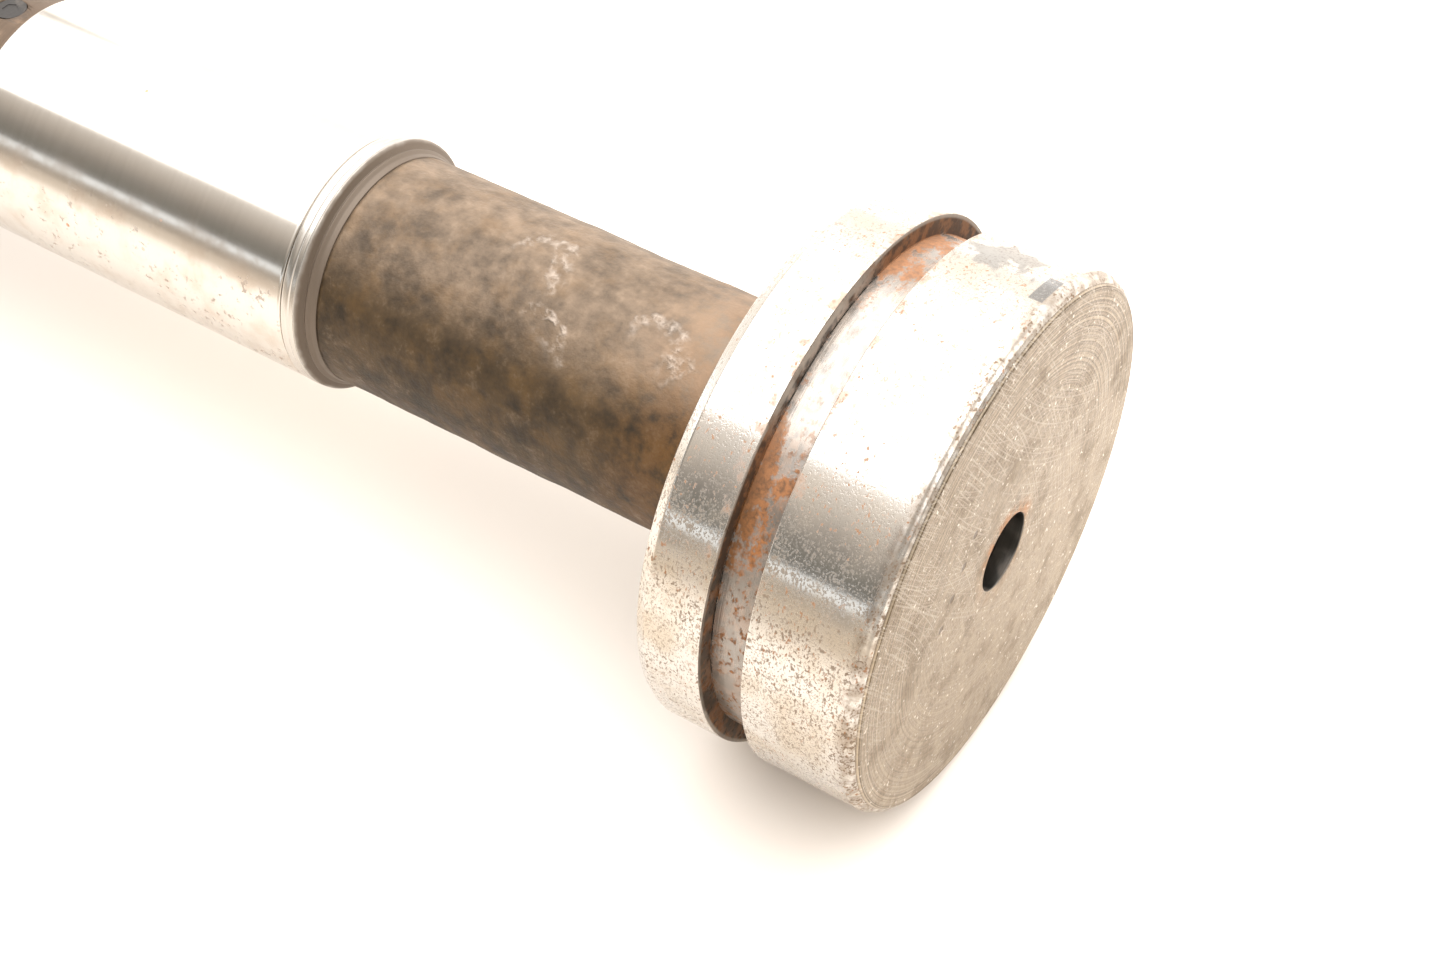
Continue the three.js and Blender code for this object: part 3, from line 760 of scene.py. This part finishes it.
def shifted(piece, side, up):
    """Move a piece off the axis by changing its points, so that its object stays put."""
    for point in piece.data.vertices:
        point.co.y += side * MM
        point.co.z += up * MM
    return piece


screws = sorted(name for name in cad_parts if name.startswith("collar_screw"))
for node in screws:
    hole = plug("hole", COLLAR_END - COUNTERBORE_DEPTH, COLLAR_END + 1, COUNTERBORE_RADIUS)
    carve(collar, shifted(hole, *off_axis(node)))
settle(collar, "root", "head_collar")

# %% [markdown]
# ## Screws, bushes and keys
# The socket screws sit in the counterbores at the back of the head. Only their heads show, so
# each is a turned head and shank with a hexagon socket cut in. The centre bushes have a cone
# of 60 degrees for the lathe centre and a small pilot hole that keeps the centre's point clear.

# %% Socket screws
SHANK, CAP = 2.5, 4.25
CAP_LENGTH = 5
SOCKET_CORNER, SOCKET_DEPTH = 2.3, 2.5

for number, node in enumerate(screws, start=1):
    tip, back, _ = span(node)
    under_cap = back - CAP_LENGTH
    outline = [
        (tip, 0.0, 0), (tip, SHANK - 0.4, 0), (tip + 0.4, SHANK, 0), (under_cap, SHANK, 0),
        (under_cap, CAP, 0), (back - 0.5, CAP, 0), (back, CAP - 0.5, 0), (back, 0.0, 0),
    ]
    screw = turned(f"socket_screw_{number}", eased(outline, 0.15), [BLACK], sides=48)
    carve(screw, plug("socket", back - SOCKET_DEPTH, back + 1, SOCKET_CORNER, sides=6))
    shifted(screw, *off_axis(node))
    settle(screw, "root", node)


# %% Centre bushes
BUSH_LENGTH = 9.9
PILOT_HOLE = 2.4


def centre_bush(name, node, mouth, inward, radius):
    """A bush whose cone opens at the station called mouth and narrows inward."""
    cone_depth = (HOLE_RADIUS - PILOT_HOLE) / math.tan(math.radians(30))
    end = mouth + inward * BUSH_LENGTH
    outline = [
        (mouth, HOLE_RADIUS, 0), (mouth, radius, 0), (end, radius, 0),
        (end, PILOT_HOLE, 0), (mouth + inward * cone_depth, PILOT_HOLE, 0),
    ]
    bush = turned_ring(name, outline, 0.12, [OILED], 128)
    settle(bush, "root", node)


centre_bush("head_centre_cone", "head_centre_bush", HEAD_BUSH_START, 1, HEAD_BUSH_RADIUS)
centre_bush("tail_centre_cone", "tail_centre_bush", BAR_END, -1, TAIL_BUSH_RADIUS)

# %% Keys and grub screw, which keep their solids
for node, finish in (("head_key", PLAIN), ("collar_key", PLAIN), ("lock_ring_screw", BLACK)):
    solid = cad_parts[node]
    solid.data.materials.clear()
    solid.data.materials.append(finish)
    print("finished the solid", node)

# %% [markdown]
# ## The forged bar
# Between the head and the seat the bar is as it left the forge: nearly round, with shallow
# hollows and a few raised blisters where scale was pressed in. Noise moves the surface in and
# out by a tenth of a millimetre or two. The blisters are low, rough mounds under the curled
# scale. Behind the seat the bar is the same, and then it is turned smooth for the clamp collar
# to slide on. A Displace modifier could give the skin, but the bar also steps under each ring,
# so one function gives its radius at any spot, and a helper lays the points by it.

# %% A tube of any radius
def tube(name, stations, sides, radius_at, finish_at, finishes):
    """Rows of points round the axis, closed at both ends."""
    points, faces, face_finishes = [], [], []
    for station in stations:
        for step in range(sides):
            angle = 2 * math.pi * step / sides
            points.append(place(station, radius_at(station, angle), angle))
    for row in range(len(stations) - 1):
        for step in range(sides):
            beside = (step + 1) % sides
            low, high = row * sides, (row + 1) * sides
            faces.append((low + step, low + beside, high + beside, high + step))
            face_finishes.append(finish_at(stations[row]))
    faces.append(tuple(range(sides)))
    faces.append(tuple(range(len(points) - sides, len(points))))
    face_finishes += [finish_at(stations[-1])] * 2
    piece = add_mesh(name, points, faces, face_finishes, finishes)
    face_outwards(piece)
    return piece


# %% Radius of the forged bar
PILOT_START, PILOT_END = 226.0, 255.5
PILOT_RADIUS = 16.0
SPIGOT_RADIUS = 14.0
UNDER_RINGS = 16.4


def blister_height(station, angle):
    """Height, 0 to 1, of the blistered scale at a spot of the bar."""
    total = 0.0
    for centre, turn, width in BLISTERS:
        around = (angle - math.radians(turn)) * SHANK_RADIUS
        mound = math.exp(-((math.hypot(station - centre, around) / width) ** 2) * 2)
        total += mound * abs(noise.noise(Vector((station, around, 0)) / 2.2)) * 2
    return min(total, 1.0)


def bar_radius(station, from_top):
    """Radius of the bar at a spot, with the forged skin where it was never machined."""
    if station > PILOT_START:
        return PILOT_RADIUS
    if BAND_START - 0.05 < station < LOCK_END:
        return UNDER_RINGS
    if station < HEAD_END + 0.04:
        return SPIGOT_RADIUS
    base = SHANK_RADIUS if station < BAND_START else UNDER_RINGS
    angle = (from_top + 1.5 * math.pi) % (2 * math.pi) - math.pi  # 0 at the near side
    spot = Vector((station, base * math.cos(angle), base * math.sin(angle)))
    skin = 0.16 * noise.noise(spot / 11) + 0.07 * noise.noise(spot / 3.2)
    skin += 0.035 * noise.noise(spot / 1.1)
    raised = 0.18 * blister_height(station, angle) if station < BAND_START else 0.0
    return base - 0.22 + skin + raised


def bar_stations():
    """Stations close together on the forged skin, and pairs at each step of the outline."""
    steps = [BAR_START, HEAD_END + 0.03, HEAD_END + 0.06]
    steps += list(np.arange(HEAD_END + 0.7, BAND_START - 0.4, 0.6))
    steps += [BAND_START - 0.08, BAND_START - 0.02, LOCK_END - 0.02, LOCK_END + 0.05]
    steps += list(np.arange(LOCK_END + 0.8, PILOT_START - 0.8, 0.8))
    steps += [PILOT_START - 0.05, PILOT_START + 0.3, PILOT_START + 0.6, PILOT_END]
    return steps


# %% Forged bar, with its keyway
IN_SCALE, IN_TURNED = 0, 1
KEY_START, KEY_END, _ = span("collar_key")
KEYWAY_HALF_WIDTH = 4.1
KEYWAY_FLOOR = 12.9


def bar_finish(station):
    return IN_TURNED if station > PILOT_START else IN_SCALE


def block(name, start, end, half_width, low, high):
    """A plain box about the axis, from one height above it to another, in millimetres."""
    corners = [
        (HEAD_X - station * MM, side * MM, AXIS_Z + up * MM)
        for station in (start, end) for side in (-half_width, half_width) for up in (low, high)
    ]
    faces = [(0, 1, 3, 2), (4, 6, 7, 5), (0, 4, 5, 1), (2, 3, 7, 6), (0, 2, 6, 4), (1, 5, 7, 3)]
    piece = add_mesh(name, corners, faces, [0] * 6, [PLAIN])
    face_outwards(piece)
    return piece


bar = tube("forged_bar", bar_stations(), 240, bar_radius, bar_finish, [SCALE, PLAIN])
carve(bar, block("keyway", KEY_START - 0.1, KEY_END + 0.1, KEYWAY_HALF_WIDTH, KEYWAY_FLOOR, 20))
settle(bar, "root", "core_shaft")

# %% [markdown]
# ## The thread and the drive end
# A thread is a ridge that climbs as it goes round. The helper below gives each spot of the
# surface its place across one pitch, from its station and its angle together, and looks up
# the height there: a flat crest, a slope, a flat root and a slope back. That makes a true
# helix with no modifier, right-handed like the nut's motion. The plain end beyond it has a
# flat for the screw of a lathe dog.

# %% Threaded length
THREAD_END = 300.0
THREAD_RADIUS = 15.0
PITCH = 3.5
THREAD_DEPTH = 2.0
CREST, SLOPE = 0.18, 0.62
ROWS_PER_PITCH = 16


def thread_radius(station, angle):
    """Radius at a spot of the right-handed thread."""
    across = (station / PITCH - angle / (2 * math.pi)) % 1.0
    from_crest = min(abs(across - 0.5) / 0.5, 1.0)
    depth = min(max((from_crest - CREST) / SLOPE, 0.0), 1.0)
    radius = THREAD_RADIUS - THREAD_DEPTH * depth
    lead_in = THREAD_RADIUS - THREAD_DEPTH + 0.2 + (THREAD_END - station)
    run_out = THREAD_RADIUS - THREAD_DEPTH - 0.1 + max(station - PILOT_END - 3, 0) * 2
    return min(radius, lead_in, run_out)


row_count = int((THREAD_END - PILOT_END) / PITCH * ROWS_PER_PITCH)
thread_rows = np.linspace(PILOT_END, THREAD_END, row_count)
thread = tube("tail_thread", thread_rows, 180, thread_radius, lambda station: 0, [PLAIN])
settle(thread, "root", "core_shaft")

# %% Drive end
DRIVE_RADIUS = 12.5
DRIVE_FLAT = 10.0
drive_outline = [
    (THREAD_END - 0.02, 0.0, 0),
    (THREAD_END - 0.02, DRIVE_RADIUS, 0),
    (BAR_END - 0.8, DRIVE_RADIUS, 0),
    (BAR_END, DRIVE_RADIUS - 0.8, 0),
    (BAR_END, 0.0, 0),
]
drive = turned("drive_end", eased(drive_outline, 0.25), [PLAIN], sides=128)
carve(drive, block("flat", THREAD_END + 3, BAR_END + 1, 20, DRIVE_FLAT, 20))
carve(drive, plug("bush hole", TAIL_BUSH_START, BAR_END + 1, TAIL_BUSH_RADIUS + 0.1))
settle(drive, "root", "core_shaft")

# %% [markdown]
# ## Shoulder ring, seat sleeve and lock ring
# The ring in front of the seat was turned with a narrow tool, which left fine rings across it
# and a groove against the bar's shoulder. The seat is a plain sleeve with eased ends. The lock
# ring behind it is browned and has one grub screw.

# %% Turned band
RING_BORE = 16.6
band_profile = [
    (0.0, SHANK_RADIUS - 0.15), (0.8, SHANK_RADIUS), (1.3, SHANK_RADIUS + 0.55),
    (1.6, SHANK_RADIUS + 0.35), (2.0, BAND_RADIUS - 0.5), (2.4, BAND_RADIUS - 0.08),
    (2.8, BAND_RADIUS - 0.26), (3.2, BAND_RADIUS), (3.6, BAND_RADIUS - 0.16),
    (4.0, BAND_RADIUS - 0.05),
]
band_outline = [
    (BAND_START, RING_BORE, 0),
    *[(BAND_START + offset, radius, 0) for offset, radius in band_profile],
    (BAND_END - 0.3, BAND_RADIUS - 0.06, 0),
    (BAND_END, BAND_RADIUS - 0.3, 0),
    (BAND_END, RING_BORE, 0),
]
band = turned_ring("front_turned_band", band_outline, 0.15, [BAND], 256)
settle(band, "root", "front_shoulder_ring")

# %% Seat sleeve
sleeve_outline = [
    (SEAT_START, RING_BORE, 0), (SEAT_START, SEAT_RADIUS, 0),
    (SEAT_END, SEAT_RADIUS, 0), (SEAT_END, RING_BORE, 0),
]
sleeve = turned_ring("bright_seat_sleeve", sleeve_outline, 0.5, [BRIGHT], 360)
settle(sleeve, "root", "seat_sleeve")

# %% Lock ring
CHAMFER = 0.6
GRUB_HOLE = 2.6
lock_outline = [
    (LOCK_START, RING_BORE, 0), (LOCK_START, LOCK_RADIUS - CHAMFER, 0),
    (LOCK_START + CHAMFER, LOCK_RADIUS, 0), (LOCK_END - CHAMFER, LOCK_RADIUS, 0),
    (LOCK_END, LOCK_RADIUS - CHAMFER, 0), (LOCK_END, RING_BORE, 0),
]
lock = turned_ring("browned_lock_ring", lock_outline, 0.2, [BROWNED], 192)


def stood_up(piece, station):
    """Turn a piece made about the axis so that it stands at a station, pointing up."""
    for point in piece.data.vertices:
        x, y, z = point.co
        point.co = (HEAD_X - station * MM - (z - AXIS_Z), -y, AXIS_Z + HEAD_X - x)
    return piece


grub_hole = plug("grub hole", 14, 22, GRUB_HOLE, sides=48)
carve(lock, stood_up(grub_hole, (LOCK_START + LOCK_END) / 2))
settle(lock, "root", "rear_lock_ring")

# %% [markdown]
# ## The clamp
# The clamp collar is a thick flange with a hub, bored to slide on the bar and kept from
# turning by a key. Two flats across the flange take a spanner, and the mandrel lies on one of
# them. A hardened washer and a hexagon nut push it. The nut's corners are chamfered by turning,
# which leaves the curved edges that every machined nut has.

# %% Clamp collar
CLAMP_LOW, CLAMP_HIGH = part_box("clamp_collar")
CLAMP_RADIUS = (CLAMP_HIGH[1] - CLAMP_LOW[1]) / 2 / MM
CLAMP_HUB = 24.0
CLAMP_BORE = 16.1
FLANGE_END = CLAMP_START + 14.0
clamp_outline = [
    (CLAMP_START, CLAMP_BORE, IN_PLAIN),
    (CLAMP_START, CLAMP_RADIUS - CHAMFER, IN_LAND),
    (CLAMP_START + CHAMFER, CLAMP_RADIUS, IN_LAND),
    (FLANGE_END - CHAMFER, CLAMP_RADIUS, IN_LAND),
    (FLANGE_END, CLAMP_RADIUS - CHAMFER, IN_LAND),
    (FLANGE_END, CLAMP_HUB + 1.0, IN_LAND),
    (FLANGE_END + 1.0, CLAMP_HUB, IN_LAND),
    (CLAMP_END, CLAMP_HUB, IN_PLAIN),
    (CLAMP_END, CLAMP_BORE, IN_PLAIN),
]
clamp = turned_ring("flanged_clamp_collar", clamp_outline, 0.2, head_finishes, 256)
carve(clamp, block("between flats", CLAMP_START - 1, CLAMP_END + 1, 60,
                   -CLAMP_HALF_FLATS, CLAMP_HALF_FLATS), "INTERSECT")
carve(clamp, block("keyway", CLAMP_START - 1, CLAMP_END + 1, KEYWAY_HALF_WIDTH, 10, 19.3))
settle(clamp, "clamp", "clamp_collar")

# %% Washer
NUT_BORE = 15.1
washer_outline = [
    (WASHER_START, NUT_BORE, 0), (WASHER_START, WASHER_RADIUS, 0),
    (WASHER_END, WASHER_RADIUS, 0), (WASHER_END, NUT_BORE, 0),
]
washer = turned_ring("hardened_washer", washer_outline, 0.35, [PLAIN], 192)
settle(washer, "clamp", "thrust_washer")

# %% Clamp nut
nut = plug("hex_clamp_nut", NUT_START, NUT_END, NUT_CORNER, sides=6)
nut.data.materials.clear()
nut.data.materials.append(BLACK)
CHAMFER_IN, CHAMFER_OUT = NUT_CORNER - 3.2, NUT_CORNER + 0.4
nut_blank_outline = [
    (NUT_START, 0.0, 0), (NUT_START, CHAMFER_IN, 0), (NUT_START + 1.9, CHAMFER_OUT, 0),
    (NUT_END - 1.9, CHAMFER_OUT, 0), (NUT_END, CHAMFER_IN, 0), (NUT_END, 0.0, 0),
]
carve(nut, turned("chamfers", nut_blank_outline, [BLACK], sides=192), "INTERSECT")
bore_outline = [
    (NUT_START - 1, 0.0, 0), (NUT_START - 1, 17.2, 0), (NUT_START + 1.1, NUT_BORE, 0),
    (NUT_END - 1.1, NUT_BORE, 0), (NUT_END + 1, 17.2, 0), (NUT_END + 1, 0.0, 0),
]
carve(nut, turned("bore", bore_outline, [BLACK], sides=128))
settle(nut, "nut", "clamp_nut")

# %% [markdown]
# ## Floor, light and camera
# Polished steel shows its surroundings more than itself, so the studio is part of the finish.
# A wide soft panel overhead gives the blown-out upper side of each land, and two more light
# the back and the far end. The rest comes from the room, whose brightness changes only with
# height: dim at eye level, which gives the grey band on the near side, with one bright stripe
# low down, which gives the thin bright line under that band. The warm pale floor fills the
# underside. In front its colour is painted darker, a painted half shade like that of a table
# beyond the lamps.

# %% Floor
FLOOR_REACH = 3.0  # metres each way


def floor_finish():
    finish = Finish("pale floor")
    soft = finish.cloud(60, seed=1)
    colour = finish.mix(soft, (0.825, 0.765, 0.700), (0.845, 0.785, 0.720))
    # Painted shade: the floor's colour darkens towards the front, standing in for half shade.
    colour = finish.mix(finish.side.rise(-105, -290), colour, (0.43, 0.375, 0.31))
    return finish.steel(colour, 0.85 + 0.05 * soft, 0.0, finish.bump(soft, 0.05))


signs = ((-1, -1), (1, -1), (1, 1), (-1, 1))
floor_points = [(x * FLOOR_REACH, y * FLOOR_REACH, 0) for x, y in signs]
floor = add_mesh("floor", floor_points, [(0, 1, 2, 3)], [0], [floor_finish()])
floor.location.z = -0.0001


# %% Soft panels
def panel(name, centre, target, size, glow, colour=(1.0, 1.0, 1.0)):
    """A soft light panel; glow is its brightness as a camera would see it."""
    light = bpy.data.lights.new(name, "AREA")
    light.shape = "RECTANGLE"
    light.size, light.size_y = size
    light.energy = glow * math.pi * size[0] * size[1]
    light.color = colour
    lamp = bpy.data.objects.new(name, light)
    lamp.location = centre
    direction = Vector(target) - Vector(centre)
    lamp.rotation_euler = direction.to_track_quat("-Z", "Y").to_euler()
    bpy.context.scene.collection.objects.link(lamp)
    return lamp


panel("overhead", (0.0, 0.20, 1.2), (0.0, 0.20, 0.0), (2.8, 2.16), 2.25)
panel("backdrop", (0.0, 1.3, 0.6), (0.0, 0.0, 0.6), (2.8, 1.2), 1.6, (1.0, 0.96, 0.92))
panel("end", (-1.5, 0.4, 0.45), (0.0, 0.0, 0.1), (2.0, 0.9), 1.3, (1.0, 0.96, 0.92))

# %% Graded room
# How bright the room is at a height, where 0 is level with the mandrel and 1 straight up.
ROOM = [
    (0.000, (0.66, 0.57, 0.47)), (0.070, (0.66, 0.58, 0.49)), (0.090, (1.45, 1.48, 1.50)),
    (0.160, (1.45, 1.48, 1.50)), (0.180, (0.34, 0.325, 0.30)), (0.280, (0.34, 0.32, 0.28)),
    (0.380, (0.45, 0.41, 0.365)), (0.490, (0.72, 0.645, 0.565)), (0.600, (1.02, 0.94, 0.85)),
    (0.690, (1.30, 1.20, 1.10)), (0.750, (1.75, 1.72, 1.70)),
]
world = bpy.data.worlds.new("graded room")
bpy.context.scene.world = world
room = Network(world)
direction = room.node("ShaderNodeTexCoord", output="Generated")
height = room.node("ShaderNodeSeparateXYZ", inputs={"Vector": direction}, output="Z")
brightness = room.node("ShaderNodeValToRGB", {"stops": ROOM}, {"Fac": height})
glow = room.node("ShaderNodeBackground", inputs={"Color": brightness})
room.node("ShaderNodeOutputWorld", inputs={"Surface": glow})
bpy.context.scene.view_settings.view_transform = "Standard"

# %% Camera
CAMERA_SPOT = (HEAD_X + 0.074664, -0.182851, AXIS_Z + 0.221656)
CAMERA_LOOK = Vector((-0.36948, 0.57297, -0.73156))
camera_data = bpy.data.cameras.new("camera")
camera_data.lens = 56.83
camera_data.sensor_width = 36.0
camera_data.clip_start = 0.01
camera = bpy.data.objects.new("camera", camera_data)
camera.location = CAMERA_SPOT
camera.rotation_euler = CAMERA_LOOK.to_track_quat("-Z", "Y").to_euler()
bpy.context.scene.collection.objects.link(camera)
bpy.context.scene.camera = camera
